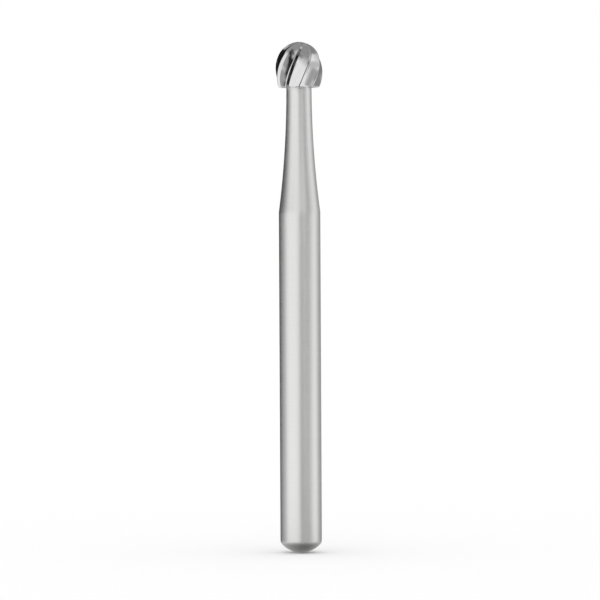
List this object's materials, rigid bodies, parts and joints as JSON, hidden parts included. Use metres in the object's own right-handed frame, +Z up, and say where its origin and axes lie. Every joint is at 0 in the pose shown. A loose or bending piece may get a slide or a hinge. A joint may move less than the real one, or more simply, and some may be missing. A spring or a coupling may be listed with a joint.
{
  "type": "carbide burr",
  "caption": "Small rotary cutting burr: an egg-shaped carbide head with right-hand helical blades on a slender tapered neck and a straight friction-grip shank with a domed end.",
  "frame": {"origin": "the lowest point of the shank's domed end, on the axis of rotation", "axes": "+Z up along the axis of rotation towards the cutting head; +X to the right and +Y away from the viewer of the picture"},
  "size_m": [0.0018, 0.0018, 0.0197],
  "materials": {
    "carbide": "polished",
    "steel": "satin"
  },
  "bodies": {
    "root": {"carbide_head": "carbide", "steel_shank": "steel"}
  },
  "joints": []
}
